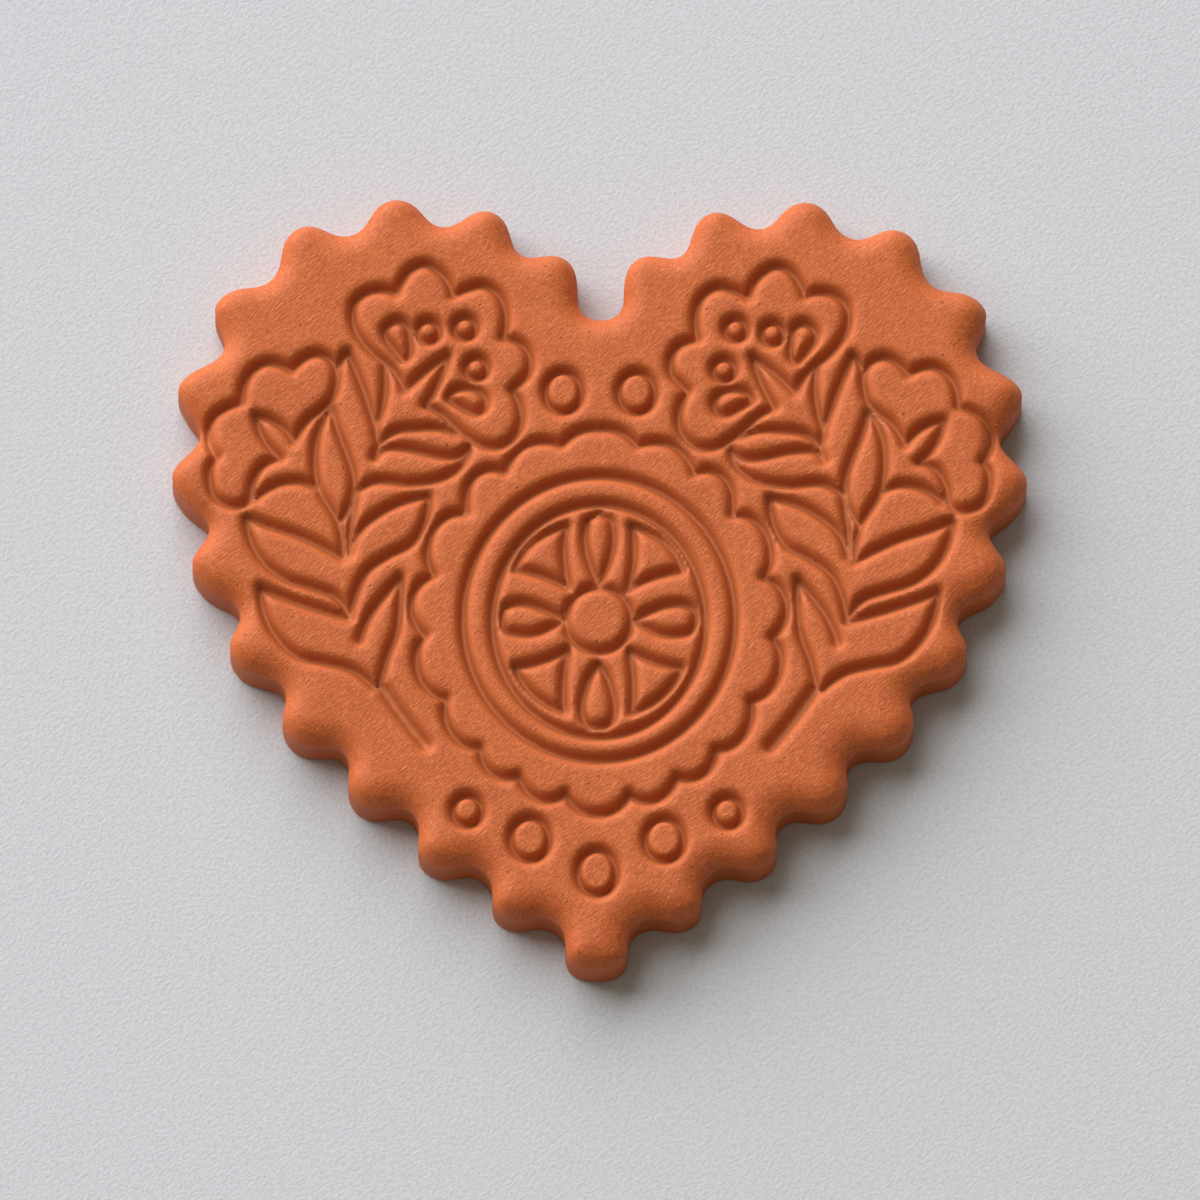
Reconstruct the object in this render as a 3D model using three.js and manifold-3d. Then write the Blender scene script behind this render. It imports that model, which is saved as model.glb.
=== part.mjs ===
// A heart of terracotta clay, cut from a flat slab and pressed with a folk pattern of sunk lines.
// It is one solid piece of clay: a scalloped edge, a rounded rim, a flat back to lie on, and on its
// face two sprays of flowers and leaves either side of a round medallion. It has no moving piece.
// Frame: +Z is up out of the pattern, +Y runs from the point of the heart to its two lobes, and the
// origin lies in the middle of the flat back. Everything is in millimetres.

import * as THREE from 'three'
import { mergeVertices } from 'three/addons/utils/BufferGeometryUtils.js'
import Module from 'manifold-3d'

const wasm = await Module()
wasm.setup()

// The slab of clay.
const heartWidth = 85.5
const heartLength = 79.6
const slabThickness = 7
const rimRadius = 1.5

// The pressed lines: two sloping sides that meet at the bottom. A width is across the mouth, level
// with the face.
const lineDepth = 1.3
const lineWidth = 1.8
const stemWidth = 2.4

// The round buttons, each left standing inside a pressed ring. A radius is to the middle of the ring.
// The least top is the radius that a small ring leaves of its button, whose side is then steeper.
const seedRingRadius = 1.08
const topRingAcross = 1.8
const topRingAlong = 2.08
const sideRingAcross = 1.44
const sideRingAlong = 1.52
const lowerRingAcross = 1.91
const lowerRingAlong = 2.16
const tipRingAcross = 1.91
const tipRingAlong = 2.27
const leastButtonTop = 0.15

// The medallion's three plain rings, each slightly oval.
const hubRingAcross = 3.3
const hubRingAlong = 3.35
const innerRingAcross = 10.65
const innerRingAlong = 12.05
const outerRingAcross = 13.6
const outerRingAlong = 14.7

// How finely curves are cut into straight steps, and how far a cut runs past what it cuts.
const edgeStep = 1
const lineStep = 3
const sharpestTurn = THREE.MathUtils.degToRad(24)
const ringSteps = 36
const buttonSteps = 12
const endSides = 6
const rimSteps = 2
const samplesPerPlace = 4
const overrun = 0.3

// How far each point of the edge is drawn towards the points beside it, and then back again, as a
// share of the way. That rounds the tightest bends, as soft clay does, and keeps the scallops full.
const softeningShare = 0.5

// The most that the rim's radius may be, as a share of the radius of the tightest bend it goes round.
const tightestRimShare = 0.95

// The drawing was made on squared paper, on which the heart is this many squares wide and long.
// Each place in the tables below counts squares to one side of the middle line, then up from the
// point, so that every place is a share of the heart's width and length.
const squaresAcross = 8.55
const squaresAlong = 7.695
const squareAcross = heartWidth / squaresAcross
const squareAlong = heartLength / squaresAlong

// One half of the edge, from the notch between the lobes round thirteen scallops to the point.
const edgeShares = [
  [0, 6.5], [0.1, 6.51], [0.17, 6.55], [0.215, 6.61], [0.23, 6.7],
  [0.23, 6.81], [0.25, 6.94], [0.29, 7.04], [0.36, 7.11], [0.45, 7.14], [0.55, 7.14], [0.65, 7.125],
  [0.75, 7.127], [0.82, 7.155], [0.87, 7.22],
  [0.9, 7.315], [0.94, 7.43], [1, 7.52], [1.08, 7.57], [1.16, 7.59], [1.25, 7.573], [1.34, 7.525],
  [1.43, 7.463], [1.52, 7.428], [1.6, 7.425], [1.68, 7.448],
  [1.75, 7.51], [1.82, 7.59], [1.91, 7.66], [2.03, 7.695], [2.13, 7.678], [2.22, 7.627], [2.29, 7.545],
  [2.34, 7.455], [2.4, 7.385], [2.48, 7.34], [2.56, 7.325], [2.64, 7.33],
  [2.74, 7.37], [2.83, 7.408], [2.92, 7.425], [3.02, 7.402], [3.11, 7.34], [3.165, 7.255], [3.19, 7.152],
  [3.205, 7.052], [3.23, 6.97], [3.28, 6.89], [3.36, 6.833], [3.46, 6.805],
  [3.56, 6.795], [3.66, 6.777], [3.75, 6.727], [3.82, 6.66], [3.86, 6.58], [3.845, 6.5], [3.81, 6.42],
  [3.78, 6.34], [3.752, 6.26], [3.755, 6.185], [3.79, 6.115],
  [3.86, 6.062], [3.94, 6.014], [4.03, 5.972], [4.11, 5.92], [4.18, 5.85], [4.225, 5.78], [4.2, 5.7],
  [4.16, 5.62], [4.12, 5.54], [4.07, 5.46], [4.015, 5.4], [3.988, 5.33], [4, 5.26],
  [4.04, 5.195], [4.1, 5.135], [4.165, 5.07], [4.225, 5], [4.265, 4.94], [4.275, 4.88], [4.24, 4.8],
  [4.21, 4.73], [4.16, 4.66], [4.1, 4.6], [4.03, 4.54], [3.955, 4.485], [3.895, 4.435], [3.885, 4.36],
  [3.92, 4.285], [3.97, 4.217], [4.015, 4.15], [4.052, 4.08], [4.065, 4.02], [4.045, 3.96], [4, 3.885],
  [3.955, 3.82], [3.9, 3.77], [3.84, 3.73], [3.77, 3.7], [3.7, 3.665], [3.63, 3.62], [3.575, 3.555],
  [3.573, 3.485],
  [3.595, 3.425], [3.63, 3.35], [3.665, 3.27], [3.683, 3.2], [3.66, 3.13], [3.625, 3.06], [3.58, 3],
  [3.52, 2.955], [3.44, 2.925], [3.36, 2.905], [3.28, 2.885], [3.2, 2.85], [3.14, 2.8], [3.112, 2.73],
  [3.115, 2.65], [3.135, 2.57], [3.155, 2.49], [3.125, 2.41], [3.095, 2.34], [3.05, 2.28], [2.99, 2.24],
  [2.92, 2.215], [2.84, 2.205], [2.76, 2.205], [2.68, 2.205], [2.61, 2.19], [2.55, 2.16], [2.5, 2.105],
  [2.475, 2.02], [2.483, 1.93], [2.49, 1.84], [2.465, 1.76], [2.43, 1.69], [2.38, 1.64], [2.32, 1.605],
  [2.24, 1.585], [2.16, 1.585], [2.08, 1.59], [2, 1.6], [1.92, 1.59], [1.85, 1.55], [1.8, 1.48],
  [1.775, 1.39], [1.785, 1.28], [1.79, 1.2], [1.76, 1.13], [1.71, 1.07], [1.64, 1.025], [1.56, 1.005],
  [1.48, 1], [1.4, 1.01], [1.32, 1.025], [1.24, 1.02], [1.16, 0.985], [1.1, 0.93], [1.055, 0.86],
  [1.033, 0.78], [1.045, 0.7], [1.04, 0.64], [1.005, 0.58], [0.95, 0.535], [0.88, 0.505], [0.8, 0.49],
  [0.72, 0.49], [0.64, 0.505], [0.56, 0.515], [0.48, 0.5], [0.41, 0.465], [0.355, 0.41], [0.32, 0.34],
  [0.302, 0.26], [0.315, 0.19], [0.295, 0.13], [0.255, 0.07], [0.2, 0.03], [0.13, 0.01], [0.06, 0],
  [0, 0]
]

// The large flower: five petals, and the pointed sepal that is folded up into it.
const largeFlowerShares = [
  [[1.955, 5.75], [2.025, 5.89], [2.16, 6.02], [2.37, 6.225], [2.45, 6.35], [2.485, 6.48], [2.47, 6.61],
    [2.41, 6.695], [2.33, 6.73], [2.24, 6.73], [2.14, 6.705], [2.05, 6.72]],
  [[2.05, 6.72], [1.98, 6.87], [1.92, 6.95], [1.84, 7], [1.76, 7.015], [1.68, 6.995], [1.61, 6.93],
    [1.56, 6.84], [1.48, 6.7]],
  [[1.48, 6.7], [1.34, 6.77], [1.26, 6.8], [1.18, 6.805], [1.1, 6.78], [1.03, 6.72], [0.98, 6.64],
    [0.95, 6.54], [0.95, 6.43], [0.975, 6.28]],
  [[0.975, 6.28], [0.89, 6.265], [0.79, 6.22], [0.73, 6.15], [0.7, 6.06], [0.71, 5.96], [0.75, 5.88],
    [0.82, 5.82], [0.88, 5.76]],
  [[0.88, 5.76], [0.82, 5.65], [0.79, 5.55], [0.79, 5.44], [0.82, 5.34], [0.89, 5.26], [0.97, 5.205],
    [1.05, 5.185], [1.14, 5.195], [1.23, 5.23], [1.42, 5.365], [1.58, 5.515], [1.75, 5.6]],
  [[1.75, 5.6], [1.685, 5.74], [1.605, 5.87], [1.57, 5.98], [1.53, 6.1]],
  [[1.53, 6.1], [1.68, 5.99], [1.75, 5.945], [1.85, 5.855], [1.955, 5.75]]
]

// Inside the large flower: an oblong and a teardrop, each as two strokes that meet.
const oblongShares = [
  [[1.52, 5.67], [1.49, 5.73], [1.42, 5.77], [1.33, 5.78], [1.24, 5.76], [1.17, 5.71], [1.14, 5.64]],
  [[1.14, 5.64], [1.16, 5.57], [1.21, 5.53], [1.27, 5.53], [1.335, 5.56], [1.4, 5.6], [1.47, 5.635],
    [1.52, 5.67]]
]
const teardropShares = [
  [[2.03, 6.445], [2.13, 6.4], [2.165, 6.32], [2.13, 6.25], [2.08, 6.185], [2.03, 6.125], [1.975, 6.055]],
  [[1.975, 6.055], [1.925, 6.085], [1.905, 6.16], [1.91, 6.24], [1.915, 6.31], [1.93, 6.38], [1.98, 6.43],
    [2.03, 6.445]]
]
const seedPlaceShares = [[1.356, 6.38], [1.725, 6.34], [1.24, 5.975]]

// The bell flower, with its two lobes, its hanging petal and the small prong inside it.
const bellFlowerShares = [
  [[3.59, 5.62], [3.58, 5.74], [3.55, 5.84], [3.5, 5.92], [3.43, 5.98], [3.35, 6.015], [3.27, 6.02],
    [3.19, 5.995], [3.09, 5.94]],
  [[3.09, 5.94], [3.04, 5.995], [2.98, 6.055], [2.91, 6.095], [2.83, 6.11], [2.75, 6.09], [2.68, 6.03],
    [2.64, 5.94], [2.64, 5.84], [2.66, 5.74], [2.7, 5.64], [2.77, 5.57], [2.85, 5.515], [2.92, 5.45],
    [2.975, 5.36], [3.06, 5.23]],
  [[3.06, 5.23], [3.15, 5.345], [3.23, 5.41], [3.32, 5.45], [3.44, 5.48]],
  [[3.44, 5.48], [3.42, 5.35], [3.365, 5.26], [3.3, 5.175], [3.19, 5.06]],
  [[3.19, 5.06], [3.29, 5.03], [3.37, 4.99], [3.43, 4.92], [3.47, 4.83], [3.52, 4.63]],
  [[3.59, 5.62], [3.68, 5.585], [3.76, 5.555], [3.84, 5.5], [3.895, 5.43], [3.925, 5.34], [3.915, 5.24],
    [3.88, 5.15], [3.83, 5.07]],
  [[3.83, 5.07], [3.885, 5], [3.905, 4.92], [3.9, 4.83], [3.88, 4.74], [3.84, 4.66], [3.76, 4.61],
    [3.67, 4.58], [3.58, 4.585], [3.52, 4.63]]
]

// The leaves between the two flowers and either side of the stem, each from its tip to the stem.
const leafShares = [
  [[2.16, 6.01], [2.16, 5.89], [2.16, 5.76], [2.165, 5.64], [2.19, 5.54], [2.24, 5.36], [2.215, 5.28],
    [2.205, 5.2], [2.22, 5.13], [2.255, 5.07]],
  [[2.53, 6.12], [2.59, 6.06], [2.62, 5.99], [2.635, 5.92]],
  [[2.53, 6.12], [2.49, 6.04], [2.44, 5.94], [2.37, 5.74], [2.29, 5.54], [2.24, 5.36]],
  [[1.43, 5.32], [1.52, 5.36], [1.63, 5.375], [1.75, 5.375], [1.88, 5.365], [2, 5.35], [2.09, 5.325],
    [2.16, 5.285], [2.205, 5.22]],
  [[1.31, 5.185], [1.34, 5.14], [1.41, 5.1], [1.5, 5.085], [1.6, 5.095], [1.7, 5.115], [1.9, 5.16],
    [2, 5.17], [2.09, 5.17], [2.17, 5.155], [2.255, 5.07]],
  [[1.31, 5.185], [1.33, 5.11], [1.36, 5.04], [1.42, 4.97], [1.5, 4.91], [1.6, 4.865], [1.7, 4.84],
    [1.9, 4.82], [2.1, 4.825], [2.32, 4.825], [2.38, 4.805], [2.43, 4.74]],
  [[2.69, 5.57], [2.74, 5.52], [2.78, 5.44], [2.815, 5.34], [2.85, 5.14], [2.845, 4.94], [2.8, 4.74],
    [2.74, 4.64], [2.67, 4.54], [2.615, 4.45], [2.585, 4.34], [2.565, 4.21], [2.56, 4.1]],
  [[2.69, 5.57], [2.65, 5.44], [2.585, 5.24], [2.5, 5.04], [2.455, 4.84], [2.455, 4.74], [2.485, 4.64],
    [2.535, 4.55], [2.6, 4.44]],
  [[2.43, 4.76], [2.445, 4.64], [2.47, 4.49], [2.49, 4.34], [2.505, 4.21], [2.495, 4.11]],
  [[3.44, 4.66], [3.32, 4.755], [3.23, 4.8], [3.13, 4.825], [3.02, 4.83], [2.92, 4.82], [2.85, 4.78]],
  [[1.71, 4.69], [1.8, 4.655], [2, 4.59], [2.1, 4.56], [2.2, 4.515], [2.3, 4.45], [2.38, 4.37],
    [2.43, 4.28], [2.495, 4.11]],
  [[1.71, 4.69], [1.72, 4.54], [1.745, 4.44], [1.785, 4.34], [1.84, 4.26], [1.91, 4.19], [2, 4.135],
    [2.1, 4.095], [2.19, 4.045], [2.3, 3.96], [2.385, 3.84], [2.425, 3.74], [2.45, 3.64], [2.485, 3.46]],
  [[3.53, 4.47], [3.35, 4.4], [3.25, 4.365], [3.15, 4.33], [2.95, 4.27], [2.85, 4.225], [2.76, 4.17],
    [2.68, 4.11], [2.56, 4.06]],
  [[3.53, 4.47], [3.51, 4.34], [3.48, 4.23], [3.42, 4.12], [3.35, 4.02], [3.26, 3.935], [3.16, 3.87],
    [3.05, 3.82], [2.82, 3.755], [2.71, 3.72], [2.62, 3.67], [2.55, 3.605], [2.485, 3.46]],
  [[3.385, 3.755], [3.2, 3.69], [3, 3.62], [2.8, 3.555], [2.7, 3.52], [2.6, 3.475], [2.485, 3.46]],
  [[1.99, 3.87], [2.05, 3.83], [2.105, 3.75], [2.19, 3.64], [2.265, 3.54], [2.32, 3.44], [2.355, 3.34],
    [2.39, 3.24]],
  [[1.99, 3.87], [1.97, 3.79], [1.985, 3.64], [2.01, 3.44], [2.04, 3.24], [2.085, 3.14], [2.135, 3.04],
    [2.17, 2.94], [2.18, 2.82]],
  [[3.385, 3.755], [3.37, 3.64], [3.35, 3.54], [3.315, 3.44], [3.26, 3.34], [3.19, 3.24], [3.11, 3.155],
    [3.01, 3.085], [2.9, 3.045], [2.78, 3.025], [2.65, 3.005], [2.53, 2.975], [2.43, 2.925], [2.34, 2.85],
    [2.24, 2.78]]
]

// The stem is one wider stroke.
const stemShares = [[2.18, 2.81], [2.14, 2.74], [2.06, 2.63], [1.98, 2.53], [1.82, 2.33], [1.72, 2.2]]

// One half of the medallion's ring of eighteen small scallops, from the top down.
const medallionEdgeShares = [
  [[-0.04, 5.38], [0.1, 5.375], [0.2, 5.35], [0.28, 5.305], [0.38, 5.21]],
  [[0.38, 5.21], [0.48, 5.23], [0.57, 5.245], [0.66, 5.235], [0.74, 5.205], [0.81, 5.155], [0.87, 5.09],
    [0.95, 4.935]],
  [[0.95, 4.935], [1.02, 4.955], [1.09, 4.965], [1.16, 4.95], [1.23, 4.91], [1.285, 4.85], [1.32, 4.77],
    [1.335, 4.68], [1.33, 4.52]],
  [[1.33, 4.52], [1.4, 4.52], [1.48, 4.505], [1.56, 4.465], [1.62, 4.405], [1.67, 4.33], [1.7, 4.24],
    [1.715, 4.14], [1.71, 4.05], [1.65, 3.895]],
  [[1.65, 3.895], [1.72, 3.865], [1.78, 3.82], [1.83, 3.755], [1.865, 3.68], [1.88, 3.59], [1.87, 3.51],
    [1.84, 3.43], [1.735, 3.295]],
  [[1.735, 3.295], [1.78, 3.24], [1.81, 3.17], [1.82, 3.08], [1.815, 2.99], [1.79, 2.9], [1.75, 2.82],
    [1.69, 2.745], [1.525, 2.66]],
  [[1.525, 2.66], [1.535, 2.58], [1.53, 2.5], [1.505, 2.42], [1.47, 2.34], [1.42, 2.27], [1.35, 2.215],
    [1.27, 2.19], [1.18, 2.17]],
  [[1.18, 2.17], [1.165, 2.1], [1.14, 2.03], [1.1, 1.97], [1.04, 1.915], [0.97, 1.885], [0.89, 1.875],
    [0.795, 1.895]],
  [[0.795, 1.895], [0.76, 1.83], [0.71, 1.76], [0.65, 1.705], [0.58, 1.665], [0.5, 1.65], [0.42, 1.665],
    [0.32, 1.72]],
  [[0.32, 1.72], [0.28, 1.66], [0.22, 1.595], [0.15, 1.55], [0.08, 1.525], [-0.04, 1.515]]
]
const outerRingPlaceShares = [0, 3.48]
const innerRingPlaceShares = [0, 3.455]
const hubRingPlaceShares = [0, 3.465]

// The wheel in the medallion: half of the upper and lower drops, a side drop and two wedges.
const wheelShares = [
  [[-0.03, 4.55], [0.05, 4.535], [0.1, 4.49], [0.135, 4.42], [0.143, 4.31], [0.138, 4.21], [0.122, 4.13],
    [0.095, 4.04], [0, 3.81]],
  [[-0.01, 3.02], [0.055, 2.95], [0.095, 2.87], [0.125, 2.79], [0.15, 2.7], [0.165, 2.61], [0.16, 2.53],
    [0.13, 2.455], [0.075, 2.4], [-0.03, 2.38]],
  [[0.97, 3.47], [0.965, 3.55], [0.92, 3.6], [0.85, 3.62], [0.76, 3.625], [0.67, 3.61], [0.58, 3.58],
    [0.5, 3.54], [0.35, 3.46]],
  [[0.97, 3.47], [0.96, 3.4], [0.92, 3.35], [0.86, 3.325], [0.78, 3.315], [0.69, 3.315], [0.61, 3.33],
    [0.54, 3.36], [0.35, 3.46]],
  [[0.33, 4.4], [0.41, 4.38], [0.49, 4.345], [0.57, 4.3], [0.65, 4.24], [0.72, 4.18], [0.78, 4.11],
    [0.84, 3.96]],
  [[0.84, 3.96], [0.76, 3.94], [0.68, 3.93], [0.59, 3.91], [0.5, 3.875], [0.42, 3.835], [0.29, 3.77]],
  [[0.33, 4.4], [0.345, 4.29], [0.35, 4.09], [0.34, 4], [0.29, 3.77]],
  [[0.83, 2.985], [0.75, 3.005], [0.66, 3.02], [0.57, 3.045], [0.48, 3.085], [0.31, 3.16]],
  [[0.31, 3.16], [0.335, 2.99], [0.345, 2.89], [0.35, 2.79], [0.35, 2.69], [0.335, 2.54]],
  [[0.83, 2.985], [0.79, 2.89], [0.74, 2.82], [0.68, 2.75], [0.61, 2.685], [0.53, 2.63], [0.335, 2.54]]
]

// The ringed buttons round the medallion. The last one stands on the middle line.
const topButtonPlaceShares = [0.367, 5.74]
const sideButtonPlaceShares = [1.3, 1.545]
const lowerButtonPlaceShares = [0.672, 1.265]
const tipButtonPlaceShares = [0, 0.937]

// A place in the drawing, as a point on the face.
function facePoint ([across, along]) {
  return new THREE.Vector3(across * squareAcross, along * squareAlong - heartLength / 2, slabThickness)
}

// The same place on the other half of the heart.
function mirrored ([across, along]) {
  return [-across, along]
}

// A closed geometry as a solid that can be joined and cut.
function toSolid (geometry) {
  geometry.deleteAttribute('normal')
  geometry.deleteAttribute('uv')
  const merged = mergeVertices(geometry)
  return new wasm.Manifold(new wasm.Mesh({
    numProp: 3,
    vertProperties: new Float32Array(merged.attributes.position.array),
    triVerts: new Uint32Array(merged.index.array)
  }))
}

// A solid as a geometry again.
function toGeometry (solid) {
  const mesh = solid.getMesh()
  const geometry = new THREE.BufferGeometry()
  geometry.setAttribute('position', new THREE.BufferAttribute(mesh.vertProperties, 3))
  geometry.setIndex(new THREE.BufferAttribute(mesh.triVerts, 1))
  return geometry
}

// Many overlapping solids as one, with the seams in its flat faces gone.
function joinAll (solids) {
  return toSolid(toGeometry(solids.reduce((joined, solid) => joined.add(solid))))
}

// The heart seen from above, as an evenly stepped outline that fills the named width and length. It
// runs clockwise from the notch.
function heartOutline () {
  const half = edgeShares.map(([across, along]) => new THREE.Vector2(across, along))
  const otherHalf = half.slice(1, -1).reverse().map(point => new THREE.Vector2(-point.x, point.y))
  const drawn = new THREE.CatmullRomCurve3(
    [...half, ...otherHalf].map(point => new THREE.Vector3(point.x * squareAcross, point.y * squareAlong)),
    true
  )
  const steps = Math.round(drawn.getLength() / edgeStep / 2) * 2
  const spaced = drawn.getSpacedPoints(steps).slice(0, -1).map(point => new THREE.Vector2(point.x, point.y))
  const points = softened(softened(spaced, softeningShare), -softeningShare)
  const box = new THREE.Box2().setFromPoints(points)
  const middle = box.getCenter(new THREE.Vector2())
  const size = box.getSize(new THREE.Vector2())
  const fit = new THREE.Vector2(heartWidth, heartLength).divide(size)
  return points.map(point => point.sub(middle).multiply(fit))
}

// A closed outline with each point drawn towards its neighbours, or away from them for a share below zero.
function softened (points, share) {
  return points.map((point, index) => {
    const before = points[(index + points.length - 1) % points.length]
    const after = points[(index + 1) % points.length]
    const between = new THREE.Vector2().addVectors(before, after).divideScalar(2)
    return point.clone().lerp(between, share)
  })
}

// The radius of the tightest bend where a clockwise outline bulges outwards.
function tightestBend (points) {
  return Math.min(...points.map((point, index) => {
    const before = point.clone().sub(points[(index + points.length - 1) % points.length])
    const after = points[(index + 1) % points.length].clone().sub(point)
    const turn = Math.atan2(after.cross(before), after.dot(before))
    return turn > 0 ? (before.length() + after.length()) / 2 / turn : Infinity
  }))
}

// The plain slab: the outline raised to the slab's thickness with its upper rim rounded over. It is
// made longer below, where its lower rim is rounded too, and cut flat to give the back.
function plainSlab () {
  const outline = heartOutline()
  const radius = Math.min(rimRadius, tightestBend(outline) * tightestRimShare)
  const below = radius + overrun
  const raised = new THREE.ExtrudeGeometry(new THREE.Shape(outline), {
    depth: slabThickness + below - 2 * radius,
    bevelThickness: radius,
    bevelSize: radius,
    bevelOffset: -radius,
    bevelSegments: rimSteps,
    steps: 1
  })
  raised.translate(0, 0, radius - below)
  const waste = new THREE.BoxGeometry(heartWidth + 2 * overrun, heartLength + 2 * overrun, 2 * below)
  waste.translate(0, 0, -below)
  return toSolid(raised).subtract(toSolid(waste))
}

// Half the width of a pressed line where its sloping sides, carried on above the face, end in the air.
function reach (width) {
  return width / 2 * (lineDepth + overrun) / lineDepth
}

// How much a curve turns from its start to its end, as an angle.
function totalTurn (curve) {
  const samples = curve.points.length * samplesPerPlace
  let turn = 0
  let before = curve.getTangent(0)
  for (let index = 1; index <= samples; index++) {
    const after = curve.getTangent(index / samples)
    turn += before.angleTo(after)
    before = after
  }
  return turn
}

// The rounded end or corner of a pressed line.
function lineEnd (point, width) {
  const cone = new THREE.ConeGeometry(reach(width), lineDepth + overrun, endSides)
  cone.rotateX(-Math.PI / 2)
  cone.translate(point.x, point.y, point.z + (overrun - lineDepth) / 2)
  return toSolid(cone)
}

// One pressed line along a smooth curve through the given places.
function pressedLine (shares, width) {
  const path = new THREE.CatmullRomCurve3(shares.map(facePoint))
  const section = new THREE.Shape([
    new THREE.Vector2(-overrun, -reach(width)),
    new THREE.Vector2(lineDepth, 0),
    new THREE.Vector2(-overrun, reach(width))
  ])
  const steps = Math.ceil(Math.max(path.getLength() / lineStep, totalTurn(path) / sharpestTurn))
  return toSolid(new THREE.ExtrudeGeometry(section, { steps, extrudePath: path }))
}

// A set of pressed lines of one width, with a round end or corner wherever one starts or stops.
function pressedLines (strokes, width) {
  const ends = new Map(strokes.flatMap(shares => [shares[0], shares.at(-1)]).map(end => [end.join(), end]))
  return [
    ...strokes.map(shares => pressedLine(shares, width)),
    ...[...ends.values()].map(end => lineEnd(facePoint(end), width))
  ]
}

// One pressed ring, round or slightly oval, about the given place.
function pressedRing (shares, radiusAcross, radiusAlong, steps) {
  const radius = (radiusAcross + radiusAlong) / 2
  const section = [
    new THREE.Vector2(radius, -lineDepth),
    new THREE.Vector2(radius + reach(lineWidth), overrun),
    new THREE.Vector2(Math.max(radius - reach(lineWidth), leastButtonTop), overrun),
    new THREE.Vector2(radius, -lineDepth)
  ]
  const ring = new THREE.LatheGeometry(section, steps)
  ring.rotateX(Math.PI / 2)
  ring.scale(radiusAcross / radius, radiusAlong / radius, 1)
  const middle = facePoint(shares)
  ring.translate(middle.x, middle.y, middle.z)
  return toSolid(ring)
}

// All that is pressed on one half: the spray, and that half of the medallion and its buttons.
function pressedHalf (side) {
  const strokes = [
    ...largeFlowerShares, ...oblongShares, ...teardropShares, ...bellFlowerShares, ...leafShares,
    ...medallionEdgeShares, ...wheelShares
  ]
  const cuts = [
    ...pressedLines(strokes.map(shares => shares.map(side)), lineWidth),
    ...pressedLines([stemShares.map(side)], stemWidth)
  ]
  for (const shares of seedPlaceShares) {
    cuts.push(pressedRing(side(shares), seedRingRadius, seedRingRadius, buttonSteps))
  }
  cuts.push(pressedRing(side(topButtonPlaceShares), topRingAcross, topRingAlong, buttonSteps))
  cuts.push(pressedRing(side(sideButtonPlaceShares), sideRingAcross, sideRingAlong, buttonSteps))
  cuts.push(pressedRing(side(lowerButtonPlaceShares), lowerRingAcross, lowerRingAlong, buttonSteps))
  return cuts
}

// What is pressed on the middle line.
function pressedMiddle () {
  return [
    pressedRing(outerRingPlaceShares, outerRingAcross, outerRingAlong, ringSteps),
    pressedRing(innerRingPlaceShares, innerRingAcross, innerRingAlong, ringSteps),
    pressedRing(hubRingPlaceShares, hubRingAcross, hubRingAlong, buttonSteps),
    pressedRing(tipButtonPlaceShares, tipRingAcross, tipRingAlong, buttonSteps)
  ]
}

// The finished heart: the slab with every pressed line cut from it.
function clayHeart () {
  const cuts = [...pressedHalf(shares => shares), ...pressedHalf(mirrored), ...pressedMiddle()]
  const geometry = toGeometry(plainSlab().subtract(joinAll(cuts)))
  geometry.computeVertexNormals()
  return geometry
}

const terracotta = new THREE.MeshStandardMaterial({ color: 0xcd6c42, roughness: 0.85, metalness: 0 })
const heart = new THREE.Mesh(clayHeart(), terracotta)
heart.name = 'clay_heart'

const part = new THREE.Group()
part.add(heart)

export default part
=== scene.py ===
"""A terracotta clay heart, cut with a scalloped edge and pressed with a folk pattern.

The file is laid out as an add-on and is run as a script. The outline and the pressed lines are read
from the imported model, so this file only says how soft clay looks once it is cut and pressed.
Everything is in metres, with +Z out of the patterned face.
"""

import math
from functools import partial

import bmesh
import bpy
from bpy.props import FloatProperty, FloatVectorProperty, PointerProperty
from mathutils import Matrix, Vector, noise
from mathutils.geometry import interpolate_bezier
from mathutils.kdtree import KDTree


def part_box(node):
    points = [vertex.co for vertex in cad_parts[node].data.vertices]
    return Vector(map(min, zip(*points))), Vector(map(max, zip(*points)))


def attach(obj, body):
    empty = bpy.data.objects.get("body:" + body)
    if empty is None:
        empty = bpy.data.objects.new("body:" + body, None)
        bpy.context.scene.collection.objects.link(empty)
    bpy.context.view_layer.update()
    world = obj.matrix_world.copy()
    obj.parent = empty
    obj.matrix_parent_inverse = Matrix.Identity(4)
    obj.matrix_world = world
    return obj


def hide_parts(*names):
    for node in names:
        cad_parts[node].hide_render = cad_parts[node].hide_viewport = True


bl_info = {
    "name": "Pressed clay heart",
    "version": (1, 0, 0),
    "blender": (4, 5, 0),
    "location": "View3D > Sidebar > Clay heart",
    "description": "Shapes and finishes a terracotta heart pressed with a folk pattern",
    "category": "Add Mesh",
}

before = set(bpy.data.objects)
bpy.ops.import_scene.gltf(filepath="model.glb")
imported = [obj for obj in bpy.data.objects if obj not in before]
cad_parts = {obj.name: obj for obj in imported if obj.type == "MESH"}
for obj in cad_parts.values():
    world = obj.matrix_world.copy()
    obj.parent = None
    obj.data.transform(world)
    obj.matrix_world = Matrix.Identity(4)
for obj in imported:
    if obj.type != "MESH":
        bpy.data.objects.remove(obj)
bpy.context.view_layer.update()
LOW, HIGH = (Vector(corner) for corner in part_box("clay_heart"))

MM = 0.001
HAIR = 0.01 * MM

# Marks that the modelled heart carries for its material, from 0 to 1.
PRESSED = "pressed"
CREASED = "creased"

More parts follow.
